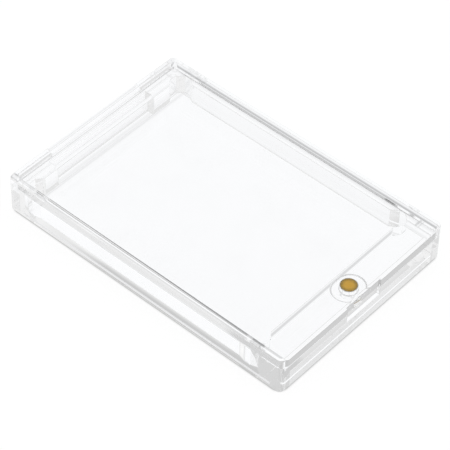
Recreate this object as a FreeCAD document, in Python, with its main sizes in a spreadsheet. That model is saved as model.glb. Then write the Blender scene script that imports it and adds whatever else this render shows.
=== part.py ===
import FreeCAD, Part
import math
import os

import Sketcher

# Magnetic holder for one thick trading card: a clear tray with a card pocket,
# a clear lid that lies between the tray's rims, and a magnet in each.
# X runs across the holder and Y along it, with the hook end at +Y.
# Z is up, and the origin is the middle of the underside. Sizes are millimetres.

SIZES = [
    # the card and the room round it
    ("card_width", 63.5),
    ("card_length", 88.9),
    ("card_side_play", 0.85),
    ("card_end_play", 0.45),
    ("pocket_depth", 7.0),
    # the tray's walls, floor and rims
    ("side_wall", 3.9),
    ("hook_wall", 6.6),
    ("magnet_wall", 11.6),
    ("floor_top", 2.1),
    ("side_rim", 1.8),
    ("hook_rim", 2.0),
    ("rim_height", 1.45),
    ("corner_round", 1.6),
    ("seat_corner", 1.4),
    ("top_edge_round", 1.0),
    ("foot_edge_round", 0.3),
    # the finger reliefs in the pocket's corners
    ("relief_reach", 5.1),
    ("relief_run", 2.65),
    ("relief_cut", 0.65),
    ("relief_depth", 1.75),
    ("relief_round", 0.6),
    # the shallow recess in the underside, and the hollow in the thick hook end
    ("foot_side", 2.35),
    ("foot_end", 4.8),
    ("foot_height", 0.5),
    ("hollow_half_width", 21.4),
    ("hollow_web", 1.8),
    ("hollow_skin", 2.0),
    ("hollow_roof", 1.1),
    # the lid
    ("lid_thickness", 2.95),
    ("lid_play", 0.15),
    ("seat_gap", 0.1),
    ("lid_front_corner", 1.8),
    ("lid_top_round", 0.5),
    ("lid_low_round", 0.2),
    # the two hooks on the lid and their slots
    ("hook_spacing", 53.0),
    ("hook_width", 13.0),
    ("hook_reach", 1.6),
    ("hook_thickness", 1.4),
    ("hook_drop", 0.8),
    ("slot_side_play", 0.5),
    ("slot_head", 0.3),
    # the thumbnail notch at the magnet end
    ("notch_width", 14.7),
    ("notch_height", 3.0),
    ("notch_depth", 1.2),
    ("lid_notch_depth", 0.5),
    # the magnets, their wells and the oval boss round them
    ("magnet_diameter", 5.5),
    ("magnet_height", 2.8),
    ("magnet_play", 0.05),
    ("magnet_skin", 0.5),
    ("magnet_edge", 0.15),
    ("boss_length", 11.1),
    ("boss_width", 9.1),
    ("boss_height", 0.5),
    ("boss_play", 0.2),
]

# Places that the pieces share, worked out from the sizes
POCKET_X = "(Sizes.card_width / 2 + Sizes.card_side_play)"
POCKET_LENGTH = "(Sizes.card_length + 2 * Sizes.card_end_play)"
HALF_X = f"({POCKET_X} + Sizes.side_wall)"
HALF_Y = f"(({POCKET_LENGTH} + Sizes.hook_wall + Sizes.magnet_wall) / 2)"
POCKET_HOOK_Y = f"({HALF_Y} - Sizes.hook_wall)"
POCKET_MAGNET_Y = f"(Sizes.magnet_wall - {HALF_Y})"
MAGNET_Y = f"(({POCKET_MAGNET_Y} - {HALF_Y}) / 2)"
SEAT_X = f"({HALF_X} - Sizes.side_rim)"
SEAT_HOOK_Y = f"({HALF_Y} - Sizes.hook_rim)"
LID_X = f"({SEAT_X} - Sizes.lid_play)"
LID_HOOK_Y = f"({SEAT_HOOK_Y} - Sizes.lid_play)"
LEDGE_Z = "(Sizes.floor_top + Sizes.pocket_depth)"
LID_LOW_Z = f"({LEDGE_Z} + Sizes.seat_gap)"
LID_TOP_Z = f"({LID_LOW_Z} + Sizes.lid_thickness)"
TOP_Z = f"({LID_TOP_Z} + Sizes.rim_height)"
HOOK_TOP_Z = f"({LID_TOP_Z} - Sizes.hook_drop)"
BOSS_LOW_Z = f"({LID_LOW_Z} - Sizes.boss_height)"
BOSS_SEAT_Z = f"({LEDGE_Z} - Sizes.boss_height)"
WELL_RADIUS = "(Sizes.magnet_diameter / 2 + Sizes.magnet_play)"

# How far a cut runs on past the face where it ends, and an added piece into the one it joins
PAST = 1.0

doc = FreeCAD.newDocument("CardHolder")
sheet = doc.addObject("Spreadsheet::Sheet", "Sizes")
for row, (alias, number) in enumerate(SIZES, start=1):
    sheet.set(f"A{row}", alias)
    sheet.set(f"B{row}", str(number))
    sheet.setAlias(f"B{row}", alias)
doc.recompute()


def value(expression):
    """The number that an expression of the sheet's cells comes to."""
    return float(sheet.evalExpression(str(expression)))


def new_body(name):
    body = doc.addObject("PartDesign::Body", name)
    body.Label = name
    body.Placement = FreeCAD.Placement()
    return body


def new_sketch(body, name, plane, height):
    """A sketch on one of the body's own origin planes, moved along its normal by height."""
    sketch = body.newObject("Sketcher::SketchObject", name)
    origin_plane = [part for part in body.Origin.OriginFeatures if part.Role == plane][0]
    sketch.AttachmentSupport = [(origin_plane, "")]
    sketch.MapMode = "FlatFace"
    sketch.setExpression("AttachmentOffset.Base.z", str(height))
    return sketch


def pin(sketch, kind, line, end, expression):
    """Holds one end of a line, or an arc's centre, at a distance from the sketch's origin."""
    distance = Sketcher.Constraint(kind, -1, 1, line, end, value(expression))
    index = sketch.addConstraint(distance)
    sketch.setExpression(f"Constraints[{index}]", str(expression))


def polygon(sketch, corners):
    """A closed outline through corners, each a pair of expressions."""
    points = [FreeCAD.Vector(value(x), value(y), 0) for x, y in corners]
    first = sketch.GeometryCount
    count = len(points)
    for index in range(count):
        sketch.addGeometry(Part.LineSegment(points[index], points[(index + 1) % count]))
    for index in range(count):
        following = first + (index + 1) % count
        sketch.addConstraint(Sketcher.Constraint("Coincident", first + index, 2, following, 1))
    for index, (x, y) in enumerate(corners):
        pin(sketch, "DistanceX", first + index, 1, x)
        pin(sketch, "DistanceY", first + index, 1, y)


def rectangle(sketch, x_low, x_high, y_low, y_high):
    polygon(sketch, [(x_low, y_low), (x_high, y_low), (x_high, y_high), (x_low, y_high)])


def circle(sketch, y, radius):
    """A circle on the holder's middle line."""
    centre = FreeCAD.Vector(0, value(y), 0)
    index = sketch.addGeometry(Part.Circle(centre, FreeCAD.Vector(0, 0, 1), value(radius)))
    sketch.addConstraint(Sketcher.Constraint("PointOnObject", index, 3, -2))
    pin(sketch, "DistanceY", index, 3, y)
    size = sketch.addConstraint(Sketcher.Constraint("Radius", index, value(radius)))
    sketch.setExpression(f"Constraints[{size}]", str(radius))


def oval(sketch, y, length, width):
    """Two half circles joined by straight sides, longer across the holder."""
    radius = f"({width}) / 2"
    offset = f"(({length}) - ({width})) / 2"
    y_mid = value(y)
    reach = value(radius)
    shift = value(offset)
    up = FreeCAD.Vector(0, 0, 1)
    arcs = []
    for side, start in ((1, -0.5), (-1, 0.5)):
        round_end = Part.Circle(FreeCAD.Vector(side * shift, y_mid, 0), up, reach)
        arc = Part.ArcOfCircle(round_end, start * math.pi, (start + 1) * math.pi)
        arcs.append(sketch.addGeometry(arc))
    lines = []
    for side in (1, -1):
        start = FreeCAD.Vector(side * shift, y_mid + side * reach, 0)
        end = FreeCAD.Vector(-side * shift, y_mid + side * reach, 0)
        lines.append(sketch.addGeometry(Part.LineSegment(start, end)))
    right, left = arcs
    top, bottom = lines
    for arc, line in ((right, top), (left, bottom)):
        sketch.addConstraint(Sketcher.Constraint("Tangent", arc, 2, line, 1))
    for line, arc in ((top, left), (bottom, right)):
        sketch.addConstraint(Sketcher.Constraint("Tangent", line, 2, arc, 1))
    sketch.addConstraint(Sketcher.Constraint("Equal", right, left))
    pin(sketch, "DistanceX", right, 3, offset)
    pin(sketch, "DistanceY", right, 3, y)
    pin(sketch, "DistanceX", left, 3, f"-{offset}")
    pin(sketch, "DistanceY", left, 3, y)
    size = sketch.addConstraint(Sketcher.Constraint("Radius", right, reach))
    sketch.setExpression(f"Constraints[{size}]", radius)


def pad(body, name, sketch, length):
    feature = body.newObject("PartDesign::Pad", name)
    feature.Profile = sketch
    feature.setExpression("Length", str(length))
    doc.recompute()
    return feature


def pocket(body, name, sketch, depth, reverse=False):
    """A cut that must take something away."""
    before = body.Shape.Volume
    feature = body.newObject("PartDesign::Pocket", name)
    feature.Profile = sketch
    feature.Reversed = reverse
    feature.setExpression("Length", str(depth))
    doc.recompute()
    if body.Shape.Volume >= before:
        raise RuntimeError(f"{name} cuts nothing")
    return feature


def fillet(body, name, edges, radius):
    """Rounds edges of the body's last feature; edges is a test that picks them."""
    base = body.Tip
    chosen = [f"Edge{number}" for number, edge in enumerate(base.Shape.Edges, start=1) if edges(edge)]
    if not chosen:
        raise RuntimeError(f"{name} finds no edge")
    feature = body.newObject("PartDesign::Fillet", name)
    feature.Base = (base, chosen)
    feature.setExpression("Radius", str(radius))
    doc.recompute()
    return feature


def upright(low, high):
    """Picks straight edges that run along Z from low to high."""
    span = sorted((value(low), value(high)))

    def test(edge):
        box = edge.BoundBox
        straight = box.XLength < 0.001 and box.YLength < 0.001
        return straight and abs(box.ZMin - span[0]) < 0.001 and abs(box.ZMax - span[1]) < 0.001

    return test


def level(height):
    """Picks edges that lie flat at one height."""
    z = value(height)
    return lambda edge: abs(edge.BoundBox.ZMin - z) < 0.001 and abs(edge.BoundBox.ZMax - z) < 0.001


def pocket_outline():
    """The card pocket's outline: a rectangle with an angled relief at each corner."""
    reach = "Sizes.relief_reach"
    run = "Sizes.relief_run"
    cut = "Sizes.relief_cut"
    out = "-Sizes.relief_depth"
    relief = [(reach, "0"), (run, out), (cut, out), (out, cut), (out, run), ("0", reach)]
    corners = []
    for side, end in ((1, -1), (1, 1), (-1, 1), (-1, -1)):
        steps = relief if side * end < 0 else relief[::-1]
        wall_y = POCKET_HOOK_Y if end > 0 else POCKET_MAGNET_Y
        for inward_x, inward_y in steps:
            x = f"{side} * ({POCKET_X} - ({inward_x}))"
            y = f"{wall_y} - {end} * ({inward_y})"
            corners.append((x, y))
    return corners


def make_tray():
    """The clear tray: pocket, ledge for the lid, rims on three sides, slots and notch."""
    body = new_body("tray")
    outline = new_sketch(body, "TrayOutline", "XY_Plane", 0)
    rectangle(outline, f"-{HALF_X}", HALF_X, f"-{HALF_Y}", HALF_Y)
    pad(body, "TrayBlock", outline, TOP_Z)
    fillet(body, "TrayCorners", upright("0", TOP_Z), "Sizes.corner_round")
    fillet(body, "TrayTopEdges", level(TOP_Z), "Sizes.top_edge_round")
    fillet(body, "TrayFootEdges", level("0"), "Sizes.foot_edge_round")

    # The lid's seat is open at the magnet end, where the lid's front face is flush
    seat = new_sketch(body, "SeatOutline", "XY_Plane", TOP_Z)
    rectangle(seat, f"-{SEAT_X}", SEAT_X, f"-{HALF_Y} - {PAST}", SEAT_HOOK_Y)
    pocket(body, "LidSeat", seat, f"{TOP_Z} - {LEDGE_Z}")
    seat_y = value(SEAT_HOOK_Y)
    seat_edge = upright(LEDGE_Z, TOP_Z)
    fillet(body, "SeatCorners", lambda edge: seat_edge(edge) and abs(edge.BoundBox.YMax - seat_y) < 0.001,
           "Sizes.seat_corner")

    card = new_sketch(body, "PocketOutline", "XY_Plane", LEDGE_Z)
    polygon(card, pocket_outline())
    pocket(body, "CardPocket", card, "Sizes.pocket_depth")
    fillet(body, "ReliefRounds", upright("Sizes.floor_top", LEDGE_Z), "Sizes.relief_round")

    under = new_sketch(body, "UnderOutline", "XY_Plane", 0)
    foot_x = f"({HALF_X} - Sizes.foot_side)"
    foot_y = f"({HALF_Y} - Sizes.foot_end)"
    rectangle(under, f"-{foot_x}", foot_x, f"-{foot_y}", foot_y)
    pocket(body, "UnderRecess", under, "Sizes.foot_height", reverse=True)

    hollow = new_sketch(body, "HollowOutline", "XY_Plane", 0)
    rectangle(hollow, "-Sizes.hollow_half_width", "Sizes.hollow_half_width",
              f"{POCKET_HOOK_Y} + Sizes.hollow_web", f"{HALF_Y} - Sizes.hollow_skin")
    pocket(body, "HookEndHollow", hollow, f"{LEDGE_Z} - Sizes.hollow_roof", reverse=True)

    slots = new_sketch(body, "SlotOutline", "XZ_Plane", f"-({SEAT_HOOK_Y} - Sizes.lid_play)")
    half_slot = "(Sizes.hook_width / 2 + Sizes.slot_side_play)"
    for side in (-1, 1):
        middle = f"{side} * Sizes.hook_spacing / 2"
        rectangle(slots, f"{middle} - {half_slot}", f"{middle} + {half_slot}",
                  LEDGE_Z, f"{HOOK_TOP_Z} + Sizes.slot_head")
    pocket(body, "HookSlots", slots, f"Sizes.lid_play + Sizes.hook_rim + {PAST}")

    notch = new_sketch(body, "NotchOutline", "XZ_Plane", HALF_Y)
    rectangle(notch, "-Sizes.notch_width / 2", "Sizes.notch_width / 2",
              f"{LEDGE_Z} - Sizes.notch_height", f"{LEDGE_Z} + {PAST}")
    pocket(body, "ThumbNotch", notch, "Sizes.notch_depth")

    boss_seat = new_sketch(body, "BossSeatOutline", "XY_Plane", LEDGE_Z)
    oval(boss_seat, MAGNET_Y, "Sizes.boss_length + 2 * Sizes.boss_play",
         "Sizes.boss_width + 2 * Sizes.boss_play")
    pocket(body, "BossSeat", boss_seat, "Sizes.boss_height")
    well = new_sketch(body, "TrayWellOutline", "XY_Plane", BOSS_SEAT_Z)
    circle(well, MAGNET_Y, WELL_RADIUS)
    pocket(body, "TrayWell", well, "Sizes.magnet_height + 2 * Sizes.magnet_play")
    return body


def make_lid():
    """The clear lid: a plate with two hooks, a boss round its magnet and a notch."""
    body = new_body("lid")
    outline = new_sketch(body, "LidOutline", "XY_Plane", LID_LOW_Z)
    rectangle(outline, f"-{LID_X}", LID_X, f"-{HALF_Y}", LID_HOOK_Y)
    pad(body, "LidPlate", outline, "Sizes.lid_thickness")
    standing = upright(LID_LOW_Z, LID_TOP_Z)
    fillet(body, "LidFrontCorners", lambda edge: standing(edge) and edge.BoundBox.YMax < 0,
           "Sizes.lid_front_corner")
    fillet(body, "LidHookCorners", lambda edge: standing(edge) and edge.BoundBox.YMin > value(POCKET_HOOK_Y),
           "Sizes.seat_corner - Sizes.lid_play")

    notch = new_sketch(body, "LidNotchOutline", "XY_Plane", LID_TOP_Z)
    rectangle(notch, "-Sizes.notch_width / 2", "Sizes.notch_width / 2",
              f"-{HALF_Y} - {PAST}", f"-{HALF_Y} + Sizes.lid_notch_depth")
    pocket(body, "LidNotch", notch, "Sizes.lid_thickness")
    fillet(body, "LidTopEdges", level(LID_TOP_Z), "Sizes.lid_top_round")
    fillet(body, "LidLowEdges", level(LID_LOW_Z), "Sizes.lid_low_round")

    hooks = new_sketch(body, "HookOutline", "XY_Plane", f"{HOOK_TOP_Z} - Sizes.hook_thickness")
    for side in (-1, 1):
        middle = f"{side} * Sizes.hook_spacing / 2"
        rectangle(hooks, f"{middle} - Sizes.hook_width / 2", f"{middle} + Sizes.hook_width / 2",
                  f"{LID_HOOK_Y} - {PAST}", f"{LID_HOOK_Y} + Sizes.hook_reach")
    pad(body, "Hooks", hooks, "Sizes.hook_thickness")

    boss = new_sketch(body, "BossOutline", "XY_Plane", BOSS_LOW_Z)
    oval(boss, MAGNET_Y, "Sizes.boss_length", "Sizes.boss_width")
    pad(body, "Boss", boss, "Sizes.boss_height")
    well = new_sketch(body, "LidWellOutline", "XY_Plane", BOSS_LOW_Z)
    circle(well, MAGNET_Y, WELL_RADIUS)
    pocket(body, "LidWell", well, f"{LID_TOP_Z} - Sizes.magnet_skin - {BOSS_LOW_Z}", reverse=True)
    return body


def make_magnet(name, top):
    """A plated disc magnet that lies in its well with its upper face at top."""
    body = new_body(name)
    outline = new_sketch(body, f"{name}_outline", "XY_Plane", f"{top} - Sizes.magnet_height")
    circle(outline, MAGNET_Y, "Sizes.magnet_diameter / 2")
    pad(body, f"{name}_disc", outline, "Sizes.magnet_height")
    fillet(body, f"{name}_edges", lambda edge: edge.Closed and edge.BoundBox.ZLength < 0.001,
           "Sizes.magnet_edge")
    return body


pieces = [
    make_tray(),
    make_lid(),
    make_magnet("lid_magnet", f"({LID_TOP_Z} - Sizes.magnet_skin - Sizes.magnet_play)"),
    make_magnet("tray_magnet", f"({BOSS_SEAT_Z} - Sizes.magnet_play)"),
]
doc.recompute()

for item in doc.Objects:
    if "Invalid" in item.State or "Error" in item.State:
        raise RuntimeError(f"{item.Label} is {item.State}")
for piece in pieces:
    if piece.Shape.isNull() or not piece.Shape.isValid() or len(piece.Shape.Solids) != 1:
        raise RuntimeError(f"{piece.Label} has no sound solid")

os.makedirs("parts", exist_ok=True)
for piece in pieces:
    piece.Shape.exportStep(f"parts/{piece.Label}.step")
    box = piece.Shape.BoundBox
    print(f"{piece.Label}: {piece.Shape.Volume:.1f} mm3, X {box.XMin:.2f} to {box.XMax:.2f},"
          f" Y {box.YMin:.2f} to {box.YMax:.2f}, Z {box.ZMin:.2f} to {box.ZMax:.2f}")
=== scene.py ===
import math

import bmesh
import bpy
from mathutils import Matrix, Vector


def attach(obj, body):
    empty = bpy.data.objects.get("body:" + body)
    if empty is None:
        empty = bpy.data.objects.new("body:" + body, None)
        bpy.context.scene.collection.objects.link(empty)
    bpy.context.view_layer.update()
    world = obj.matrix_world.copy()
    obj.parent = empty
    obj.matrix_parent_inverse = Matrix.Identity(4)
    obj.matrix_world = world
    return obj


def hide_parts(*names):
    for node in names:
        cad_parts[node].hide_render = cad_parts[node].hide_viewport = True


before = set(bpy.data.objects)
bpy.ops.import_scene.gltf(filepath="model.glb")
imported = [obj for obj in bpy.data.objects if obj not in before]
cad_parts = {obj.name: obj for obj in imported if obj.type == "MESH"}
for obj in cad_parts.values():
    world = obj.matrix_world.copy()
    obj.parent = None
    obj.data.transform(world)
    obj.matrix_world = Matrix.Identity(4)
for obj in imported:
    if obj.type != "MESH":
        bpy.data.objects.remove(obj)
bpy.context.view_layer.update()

# The photograph's camera: turned about the holder, tipped down, a little rolled, then moved right and up
CAMERA_AZIMUTH = math.radians(-49.43)
CAMERA_ELEVATION = math.radians(46.47)
CAMERA_ROLL = math.radians(1.525)
CAMERA_DISTANCE = 0.684
CAMERA_OFFSET = (0.00056, 0.00169)
CAMERA_CLIP = (0.01, 20)
LENS_MM = 181.84
SENSOR_MM = 36.0

# Joining the solids' facets, and rounding their sharp edges
MERGE_DISTANCE = 2e-6
FLAT_ANGLE = math.radians(0.5)
SHARP_ANGLE = math.radians(35)
EDGE_ROUND = 0.0002
EDGE_SEGMENTS = 3
FACE_WEIGHT = 100

# The stops below go from a place to a grey. The places are in millimetres from the middle of the holder's
# underside, across, along or up, and all other lengths are in metres.
MM_PER_METRE = 1000
ACRYLIC_IOR = 1.49
# The rounded edges' grey, a painted shade that draws them as dark lines, and their roughness, and the share
# of both by height: those of the foot lie on the sheet and don't show
EDGE_PAINTED_SHADE = {"tray": 0.92, "lid": 0.62}
EDGE_ROUGHNESS = 0.08
EDGE_RISE = [(0.6, 0.0), (1.4, 1.0)]
# Painted glow: light that has turned back more often than this inside the acrylic is given a grey, by place,
# that the acrylic gives off
TURNS_FOLLOWED = 4.5
LONG_PATH_GLOW = {
    "tray": {
        "ends": [(-48, 0.64), (-40, 0.56), (20, 0.56), (36, 0.78), (50, 0.88)],
        "along": [(-46, 0.0), (-30, 0.5), (-24, 1.0), (28, 1.0), (40, 0.0)],
        "across": [(-36, 0.32), (-31.5, 0.32), (-30, 0.0), (-21, -0.04), (-19.5, 0.0),
                   (-18, 0.14), (-16.5, 0.3), (16.5, 0.3), (18, 0.28), (36, 0.3)]},
    "lid": {
        "ends": [(-48, 0.56), (36, 0.56)],
        "along": [(-27, 0.0), (-23, 1.0)],
        "across": [(-16, 0.0), (-13, 0.2), (-7, 0.2), (-4, 0.0),
                   (4, 0.0), (7, 0.2), (13, 0.2), (16, 0.0)]}}

# The magnets' middle along the holder in millimetres, and their gold, which is darker towards the face's edge
MAGNET_Y = -48.2
GOLD_TONE = (0.8, 0.44, 0.0, 1)
GOLD_RIM_TONE = (0.30, 0.18, 0.0, 1)
GOLD_EDGE = [(0.0, 0.0), (1.3, 0.1), (2.4, 0.9), (3.0, 1.0)]
CLOUD_SCALE = 700.0
CLOUD_SHARE = 0.15
# Round the side and its edge the plating is worn to the bright metal below
BARE_METAL = (0.92, 0.92, 0.9, 1)
BARE_FROM = [(2.5, 0.0), (2.62, 1.0)]
# The painted glint: the white that the gold gives off, in place of its own colour, to light that has turned
# in the acrylic more often than this on its way
GOLD_PAINTED_GLINT = 0.8
GLINT_TURNS = 0.5
# The rings of its brushing: how dense they lie, and what they do to its roughness and its surface
RING_SCALE = 6.0
RING_DETAIL = 3.0
GOLD_ROUGHNESS = 0.25
RING_ROUGHNESS = 0.2
RING_STRENGTH = 0.3
RING_DEPTH = 0.00002

# Fine wear: how dense the scuffs lie, and how much they roughen and grey each material
WEAR = {"acrylic": (90.0, 0.05, 0.008), "edges": (160.0, 0.1, 0.03), "gold": (240.0, 0.12, 0.06)}
# Its smudges are soft, and its hairs denser and drawn out along one way
SMUDGE_DETAIL = 3.0
SMUDGE_STOPS = [(0.5, 0.0), (0.68, 1.0)]
HAIR_DETAIL = 2.0
HAIR_STOPS = [(0.6, 0.0), (0.7, 1.0)]
HAIR_DENSITY = 3.0
HAIR_TURN = (0, 0, 0.6)
HAIR_STRETCH = (0.6, 9.0, 2.0)

# The sky's grey by the sine of its height, and its white where it is seen straight
SKY_STOPS = [
    (0.0, 0.3), (0.15, 0.7), (0.25, 0.95), (0.5, 0.9), (0.65, 0.78), (0.73, 0.76), (0.76, 0.68),
    (0.8, 0.68), (0.9, 1.2), (1.0, 1.3)]
SKY_WHITE = (1, 1, 1, 1)

# The white sheet under the holder: its size, and how far it lies below the foot
SHEET_SIZE = 8
SHEET_DROP = 0.00005
# Seen straight: its glow, how much of its white that is, so that it stays white and takes a faint shadow,
# and the line of shade where the foot meets it, by the distance out from the rounded outline in millimetres
SHEET_GLOW = 1.02
GLOW_SHARE = 0.92
CONTACT_STOPS = [(-0.6, 0.5), (0.0, 0.55), (0.25, 0.88), (0.7, 1.0)]
OUTLINE = (36.5, 54.0)
OUTLINE_ROUND = 3.0
# As the holder shows it: its tint, and its grey across, along, and by the distance from the middle. It is
# shaded at the foot, lighter beside it, and darker far off.
SHEET_TINT = (1.005, 1.012, 1.025, 1)
SHEET_ACROSS = [
    (-60, 1), (-45, 1), (-37, 0.95), (-36.6, 0.6), (-36.3, 0.6), (-36.1, 0.95), (-35.7, 0.85),
    (-35.5, 0.5), (-35.1, 0.5), (-34.9, 0.9), (-34.1, 0.92), (-33.8, 0.7), (-33.3, 0.7),
    (-33.0, 0.9), (-32.8, 1), (34.3, 1), (34.6, 0.85), (34.9, 0.88), (35.2, 0.95), (35.7, 1),
    (36.2, 1), (36.4, 0.75), (36.6, 0.8), (36.9, 0.95), (44.6, 0.95), (44.8, 0.6), (45.4, 0.5),
    (45.7, 0.7), (46.0, 0.93), (46.2, 1), (60, 1)]
SHEET_ALONG = [
    (-60, 1), (-54.6, 1), (-54.2, 0.85), (-53.8, 0.85), (-53.5, 1), (47.3, 1), (47.7, 0.86),
    (48.1, 0.86), (48.7, 1), (49.8, 0.9), (51.3, 0.88), (51.7, 1), (53.5, 1), (53.8, 0.93),
    (54.2, 0.9), (54.8, 0.93), (57, 1), (60, 1)]
SHEET_FAR = [(0, 1.0), (140, 1.0), (500, 0.6)]
# How much darker it is, on top of that, for light that turns back at walls on its way: the turns, whether
# through both pieces (1) or one (0), and the darkness across and its share along
SHEET_TURNED = [
    (1, 1, [(-60, 1), (60, 1)],
     [(-45.5, 0), (-45.2, 0.2), (-45.0, 0.2), (-44.9, 0.03), (-44.7, 0.03), (-44.4, 0.3),
      (-43.9, 0.28), (-43.6, 0)]),
    (2, 1, [(34.3, 0), (34.8, 0.42), (35.7, 0.42), (36.3, 0)],
     [(-60, 1), (-34.6, 1), (-34.0, 1.9), (-30.8, 1.9), (-30.2, 1), (60, 1)]),
    (2, 0, [(-36.3, 0), (-35.8, 0.6), (-33.2, 0.55), (-32.9, 0)],
     [(-42.6, 0), (-42, 1), (-38.2, 1), (-37.7, 0.35), (-36.2, 0.35), (-35.6, 1), (43, 1),
      (43.6, 0.3), (45.3, 0.3), (45.8, 1.2), (48, 1.2), (48.6, 0), (60, 0)])]
# Light that has crossed more faces than this on its way has come through both pieces
FACES_OF_ONE = 3.5


def make_camera():
    """Sets the camera to the photograph's view."""
    level = math.cos(CAMERA_ELEVATION)
    back = Vector((math.sin(CAMERA_AZIMUTH) * level, -math.cos(CAMERA_AZIMUTH) * level,
                   math.sin(CAMERA_ELEVATION)))
    right = Vector((0, 0, 1)).cross(back).normalized()
    up = back.cross(right)
    cos_roll = math.cos(CAMERA_ROLL)
    sin_roll = math.sin(CAMERA_ROLL)
    right, up = right * cos_roll + up * sin_roll, up * cos_roll - right * sin_roll
    place = back * CAMERA_DISTANCE + right * CAMERA_OFFSET[0] + up * CAMERA_OFFSET[1]
    data = bpy.data.cameras.new("camera")
    data.lens = LENS_MM
    data.sensor_width = SENSOR_MM
    data.clip_start, data.clip_end = CAMERA_CLIP
    camera = bpy.data.objects.new("camera", data)
    turn = Matrix((right, up, back)).transposed().to_4x4()
    camera.matrix_world = Matrix.Translation(place) @ turn
    bpy.context.scene.collection.objects.link(camera)
    bpy.context.scene.camera = camera


def feed(links, given, socket):
    """Gives an input its link, where given is a socket, or else its value."""
    if isinstance(given, bpy.types.NodeSocket):
        links.new(given, socket)
    else:
        socket.default_value = given


def math_node(nodes, links, operation, *terms, clamp=False):
    """A maths node's output; the terms are sockets or numbers."""
    node = nodes.new("ShaderNodeMath")
    node.operation = operation
    node.use_clamp = clamp
    for term, socket in zip(terms, node.inputs):
        feed(links, term, socket)
    return node.outputs[0]


def mix_colours(nodes, links, factor, first, second):
    """A colour between two; each of the three is a socket or a value."""
    node = nodes.new("ShaderNodeMix")
    node.data_type = "RGBA"
    for given, socket in ((factor, node.inputs[0]), (first, node.inputs[6]), (second, node.inputs[7])):
        feed(links, given, socket)
    return node.outputs[2]


def mix_shaders(nodes, links, factor, first, second):
    """A shader between two; the factor is a socket or a number."""
    node = nodes.new("ShaderNodeMixShader")
    for given, socket in zip((factor, first, second), node.inputs):
        feed(links, given, socket)
    return node.outputs[0]


def fade(nodes, links, socket, stops):
    """Grey by a value, through stops of value and grey, spread over the values from the first to the last."""
    low, high = stops[0][0], stops[-1][0]
    spread = nodes.new("ShaderNodeMapRange")
    spread.inputs["From Min"].default_value = low
    spread.inputs["From Max"].default_value = high
    links.new(socket, spread.inputs["Value"])
    ramp = nodes.new("ShaderNodeValToRGB")
    elements = ramp.color_ramp.elements
    elements[0].position = 0.0
    elements[1].position = 1.0
    for value, _ in stops[1:-1]:
        elements.new((value - low) / (high - low))
    for element, (_, grey) in zip(elements, stops):
        element.color = (grey, grey, grey, 1)
    links.new(spread.outputs[0], ramp.inputs[0])
    return ramp.outputs[0]


def millimetres(nodes, links):
    """Object coordinates across, along and up, as three sockets."""
    where = nodes.new("ShaderNodeTexCoord")
    scale = nodes.new("ShaderNodeVectorMath")
    scale.operation = "SCALE"
    scale.inputs["Scale"].default_value = MM_PER_METRE
    links.new(where.outputs["Object"], scale.inputs[0])
    split = nodes.new("ShaderNodeSeparateXYZ")
    links.new(scale.outputs[0], split.inputs[0])
    return split.outputs


def distance(nodes, links, x, y):
    """How far x and y lie from nought, as a socket."""
    flat = nodes.new("ShaderNodeCombineXYZ")
    links.new(x, flat.inputs["X"])
    links.new(y, flat.inputs["Y"])
    length = nodes.new("ShaderNodeVectorMath")
    length.operation = "LENGTH"
    links.new(flat.outputs[0], length.inputs[0])
    return length.outputs["Value"]


def noise(nodes, links, place, scale, detail=2.0):
    """A noise node's grey; scale is a socket or a number."""
    node = nodes.new("ShaderNodeTexNoise")
    node.inputs["Detail"].default_value = detail
    links.new(place, node.inputs["Vector"])
    feed(links, scale, node.inputs["Scale"])
    return node.outputs["Fac"]


def fine_wear():
    """A shader group that every material of the holder uses: smudges and hair-fine scuffs from handling."""
    group = bpy.data.node_groups.new("fine_wear", "ShaderNodeTree")
    for name, way, kind in (
            ("Place", "INPUT", "NodeSocketVector"), ("Density", "INPUT", "NodeSocketFloat"),
            ("Roughening", "INPUT", "NodeSocketFloat"), ("Greying", "INPUT", "NodeSocketFloat"),
            ("Tone", "INPUT", "NodeSocketColor"), ("Roughness", "INPUT", "NodeSocketFloat"),
            ("Worn Tone", "OUTPUT", "NodeSocketColor"), ("Worn Roughness", "OUTPUT", "NodeSocketFloat")):
        group.interface.new_socket(name=name, in_out=way, socket_type=kind)
    nodes, links = group.nodes, group.links
    given = nodes.new("NodeGroupInput").outputs
    result = nodes.new("NodeGroupOutput").inputs

    smudges = noise(nodes, links, given["Place"], given["Density"], SMUDGE_DETAIL)
    drawn = nodes.new("ShaderNodeMapping")
    drawn.inputs["Rotation"].default_value = HAIR_TURN
    drawn.inputs["Scale"].default_value = HAIR_STRETCH
    links.new(given["Place"], drawn.inputs["Vector"])
    density = math_node(nodes, links, "MULTIPLY", given["Density"], HAIR_DENSITY)
    hairs = noise(nodes, links, drawn.outputs[0], density, HAIR_DETAIL)
    wear = math_node(nodes, links, "MAXIMUM", fade(nodes, links, smudges, SMUDGE_STOPS),
                     fade(nodes, links, hairs, HAIR_STOPS))

    rougher = math_node(nodes, links, "MULTIPLY", wear, given["Roughening"])
    links.new(math_node(nodes, links, "ADD", given["Roughness"], rougher), result["Worn Roughness"])
    lost = math_node(nodes, links, "MULTIPLY", wear, given["Greying"])
    toned = nodes.new("ShaderNodeVectorMath")
    toned.operation = "SCALE"
    links.new(given["Tone"], toned.inputs[0])
    links.new(math_node(nodes, links, "SUBTRACT", 1.0, lost), toned.inputs["Scale"])
    links.new(toned.outputs[0], result["Worn Tone"])


def worn(nodes, links, kind, tone, roughness):
    """Places the wear in a material; tone and roughness are sockets or values. Gives the worn ones."""
    group = nodes.new("ShaderNodeGroup")
    group.node_tree = bpy.data.node_groups["fine_wear"]
    where = nodes.new("ShaderNodeTexCoord")
    links.new(where.outputs["Object"], group.inputs["Place"])
    for name, value in zip(("Density", "Roughening", "Greying"), WEAR[kind]):
        group.inputs[name].default_value = value
    feed(links, tone, group.inputs["Tone"])
    feed(links, roughness, group.inputs["Roughness"])
    return group.outputs["Worn Tone"], group.outputs["Worn Roughness"]


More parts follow.
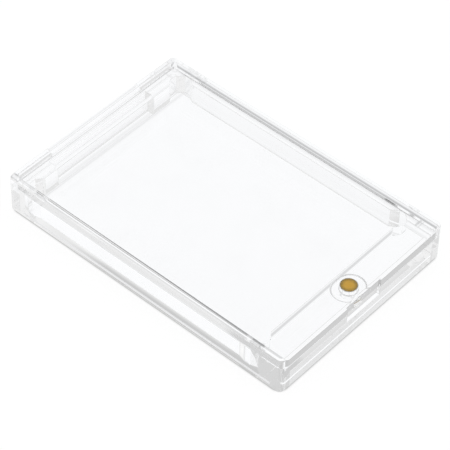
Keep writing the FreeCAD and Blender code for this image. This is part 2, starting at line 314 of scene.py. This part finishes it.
def new_material(name):
    material = bpy.data.materials.new(name)
    material.use_nodes = True
    nodes = material.node_tree.nodes
    nodes.clear()
    out = nodes.new("ShaderNodeOutputMaterial")
    return material, nodes, material.node_tree.links, out.inputs["Surface"]


def clear_acrylic(node, kind):
    """The acrylic of a moulding's surface, or of its rounded edges, which are a little rough and carry a
    painted shade that draws them as dark lines; both give off a painted glow to light that has run long
    inside.
    """
    material, nodes, links, surface = new_material(f"{node}_{kind}")
    shader = nodes.new("ShaderNodeBsdfPrincipled")
    shader.inputs["IOR"].default_value = ACRYLIC_IOR
    shader.inputs["Transmission Weight"].default_value = 1.0
    shader.inputs["Emission Strength"].default_value = 1.0
    x, y, z = millimetres(nodes, links)
    tone, roughness = (1, 1, 1, 1), 0.0
    # The rounded edges' painted shade: a grey that draws them as dark lines, less towards the foot
    if kind == "edges":
        risen = fade(nodes, links, z, EDGE_RISE)
        tone = math_node(nodes, links, "MULTIPLY", risen, EDGE_PAINTED_SHADE[node] - 1)
        tone = math_node(nodes, links, "ADD", tone, 1.0)
        roughness = math_node(nodes, links, "MULTIPLY", risen, EDGE_ROUGHNESS)
    tone, roughness = worn(nodes, links, kind, tone, roughness)
    links.new(tone, shader.inputs["Base Color"])
    links.new(roughness, shader.inputs["Roughness"])

    # Painted glow: the acrylic gives off a grey, by place, to light that has run too long inside to be
    # followed
    path = nodes.new("ShaderNodeLightPath")
    spent = math_node(nodes, links, "GREATER_THAN", path.outputs["Glossy Depth"], TURNS_FOLLOWED)
    stops = LONG_PATH_GLOW[node]
    grey = math_node(nodes, links, "MULTIPLY", fade(nodes, links, x, stops["across"]),
                     fade(nodes, links, y, stops["along"]))
    grey = math_node(nodes, links, "ADD", grey, fade(nodes, links, y, stops["ends"]))
    links.new(math_node(nodes, links, "MULTIPLY", grey, spent), shader.inputs["Emission Color"])
    links.new(shader.outputs[0], surface)
    return material


def gold_plate():
    """Gold plating with rings of brushing, darker towards its edge and worn off round the side, with a
    painted white glint.
    """
    material, nodes, links, surface = new_material("gold_plate")
    shader = nodes.new("ShaderNodeBsdfPrincipled")
    shader.inputs["Metallic"].default_value = 1.0
    shader.inputs["Emission Strength"].default_value = 1.0

    where = nodes.new("ShaderNodeTexCoord")
    x, y, _ = millimetres(nodes, links)
    radius = distance(nodes, links, x, math_node(nodes, links, "SUBTRACT", y, MAGNET_Y))
    clouds = noise(nodes, links, where.outputs["Object"], CLOUD_SCALE)
    darkening = math_node(nodes, links, "MULTIPLY", clouds, CLOUD_SHARE)
    darkening = math_node(nodes, links, "ADD", fade(nodes, links, radius, GOLD_EDGE), darkening)
    tone = mix_colours(nodes, links, darkening, GOLD_TONE, GOLD_RIM_TONE)
    tone = mix_colours(nodes, links, fade(nodes, links, radius, BARE_FROM), tone, BARE_METAL)

    rings = nodes.new("ShaderNodeTexNoise")
    rings.noise_dimensions = "1D"
    rings.inputs["Scale"].default_value = RING_SCALE
    rings.inputs["Detail"].default_value = RING_DETAIL
    links.new(radius, rings.inputs["W"])
    roughness = math_node(nodes, links, "MULTIPLY", rings.outputs["Fac"], RING_ROUGHNESS)
    roughness = math_node(nodes, links, "ADD", roughness, GOLD_ROUGHNESS)
    tone, roughness = worn(nodes, links, "gold", tone, roughness)
    links.new(roughness, shader.inputs["Roughness"])
    bump = nodes.new("ShaderNodeBump")
    bump.inputs["Strength"].default_value = RING_STRENGTH
    bump.inputs["Distance"].default_value = RING_DEPTH
    links.new(rings.outputs["Fac"], bump.inputs["Height"])
    links.new(bump.outputs[0], shader.inputs["Normal"])

    # Painted glint: to light that has turned back in the acrylic before it comes here,
    # the gold is black and glows white
    path = nodes.new("ShaderNodeLightPath")
    around = math_node(nodes, links, "GREATER_THAN", path.outputs["Glossy Depth"], GLINT_TURNS)
    links.new(mix_colours(nodes, links, around, tone, (0, 0, 0, 1)), shader.inputs["Base Color"])
    links.new(math_node(nodes, links, "MULTIPLY", around, GOLD_PAINTED_GLINT), shader.inputs["Emission Color"])
    links.new(shader.outputs[0], surface)
    return material


def dress(node, material):
    """Gives a carried-over node its material."""
    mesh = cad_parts[node].data
    mesh.materials.clear()
    mesh.materials.append(material)


def polished(node, body, materials):
    """Stands for a moulded node: its facets joined, and its sharp edges a little rounded as by polishing."""
    work = bmesh.new()
    work.from_mesh(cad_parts[node].data)
    bmesh.ops.remove_doubles(work, verts=work.verts, dist=MERGE_DISTANCE)
    bmesh.ops.dissolve_limit(work, angle_limit=FLAT_ANGLE, verts=work.verts, edges=work.edges)
    mesh = bpy.data.meshes.new(f"polished_{node}")
    work.to_mesh(mesh)
    work.free()
    mesh.shade_smooth()
    for material in materials:
        mesh.materials.append(material)
    piece = bpy.data.objects.new(f"polished_{node}", mesh)
    bpy.context.scene.collection.objects.link(piece)
    bevel = piece.modifiers.new("edges", "BEVEL")
    bevel.width = EDGE_ROUND
    bevel.segments = EDGE_SEGMENTS
    bevel.limit_method = "ANGLE"
    bevel.angle_limit = SHARP_ANGLE
    bevel.use_clamp_overlap = False
    bevel.material = 1
    # The big flat faces keep their own normals, and the small facets of a round turn smoothly into them
    weighted = piece.modifiers.new("normals", "WEIGHTED_NORMAL")
    weighted.mode = "FACE_AREA"
    weighted.weight = FACE_WEIGHT
    weighted.keep_sharp = True
    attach(piece, body)
    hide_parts(node)


def contact_shade(nodes, links, x, y):
    """The sheet's grey seen straight: white, but for a line of shade round the foot."""
    past = []
    for socket, half in zip((x, y), OUTLINE):
        out = math_node(nodes, links, "ABSOLUTE", socket)
        out = math_node(nodes, links, "SUBTRACT", out, half - OUTLINE_ROUND)
        past.append(math_node(nodes, links, "MAXIMUM", out, 0.0))
    away = math_node(nodes, links, "SUBTRACT", distance(nodes, links, *past), OUTLINE_ROUND)
    return fade(nodes, links, away, CONTACT_STOPS)


def sheet_through(nodes, links, x, y, path):
    """The sheet's grey as the holder shows it, by place and by how the light came."""
    grey = math_node(nodes, links, "MULTIPLY", fade(nodes, links, x, SHEET_ACROSS),
                     fade(nodes, links, y, SHEET_ALONG))
    grey = math_node(nodes, links, "MULTIPLY", grey,
                     fade(nodes, links, distance(nodes, links, x, y), SHEET_FAR))
    pieces = math_node(nodes, links, "GREATER_THAN", path.outputs["Transmission Depth"], FACES_OF_ONE)
    for turns, both, across, along in SHEET_TURNED:
        darker = math_node(nodes, links, "MULTIPLY", fade(nodes, links, x, across),
                           fade(nodes, links, y, along))
        for depth, wanted in ((path.outputs["Glossy Depth"], turns), (pieces, both)):
            off = math_node(nodes, links, "ABSOLUTE", math_node(nodes, links, "SUBTRACT", depth, wanted))
            held = math_node(nodes, links, "SUBTRACT", 1.0, off, clamp=True)
            darker = math_node(nodes, links, "MULTIPLY", darker, held)
        grey = math_node(nodes, links, "MULTIPLY", grey, math_node(nodes, links, "SUBTRACT", 1.0, darker))
    return grey


def make_floor():
    """A white sheet with one look straight, another through the holder, and none from below."""
    material, nodes, links, surface = new_material("floor")
    path = nodes.new("ShaderNodeLightPath")
    x, y, _ = millimetres(nodes, links)

    lit = nodes.new("ShaderNodeBsdfDiffuse")
    glow = nodes.new("ShaderNodeEmission")
    glow.inputs["Strength"].default_value = SHEET_GLOW
    seen = contact_shade(nodes, links, x, y)
    links.new(seen, lit.inputs["Color"])
    links.new(seen, glow.inputs["Color"])
    straight = mix_shaders(nodes, links, GLOW_SHARE, lit.outputs[0], glow.outputs[0])
    inside = nodes.new("ShaderNodeEmission")
    inside.inputs["Color"].default_value = SHEET_TINT
    links.new(sheet_through(nodes, links, x, y, path), inside.inputs["Strength"])
    above = mix_shaders(nodes, links, path.outputs["Is Camera Ray"], inside.outputs[0], straight)
    # From below, the sheet doesn't hide the holder
    facing = nodes.new("ShaderNodeNewGeometry")
    clear = nodes.new("ShaderNodeBsdfTransparent")
    links.new(mix_shaders(nodes, links, facing.outputs["Backfacing"], above, clear.outputs[0]), surface)

    bpy.ops.mesh.primitive_plane_add(size=SHEET_SIZE, location=(0, 0, -SHEET_DROP))
    floor = bpy.context.object
    floor.name = "floor"
    floor.data.materials.append(material)


def make_world():
    """A sky, white where it is seen straight, with a darker horizon that clear edges show as lines."""
    world = bpy.data.worlds.new("studio")
    bpy.context.scene.world = world
    world.use_nodes = True
    nodes = world.node_tree.nodes
    links = world.node_tree.links
    nodes.clear()
    out = nodes.new("ShaderNodeOutputWorld")
    glow = nodes.new("ShaderNodeBackground")
    where = nodes.new("ShaderNodeTexCoord")
    split = nodes.new("ShaderNodeSeparateXYZ")
    path = nodes.new("ShaderNodeLightPath")
    links.new(where.outputs["Generated"], split.inputs[0])
    sky = fade(nodes, links, split.outputs["Z"], SKY_STOPS)
    tone = mix_colours(nodes, links, path.outputs["Is Camera Ray"], sky, SKY_WHITE)
    links.new(tone, glow.inputs["Color"])
    links.new(glow.outputs[0], out.inputs["Surface"])


make_camera()
fine_wear()
gold = gold_plate()
for node, body in (("tray", "base"), ("lid", "cover")):
    polished(node, body, [clear_acrylic(node, "acrylic"), clear_acrylic(node, "edges")])
for node in ("tray_magnet", "lid_magnet"):
    dress(node, gold)
make_floor()
make_world()
bpy.context.scene.view_settings.view_transform = "Standard"
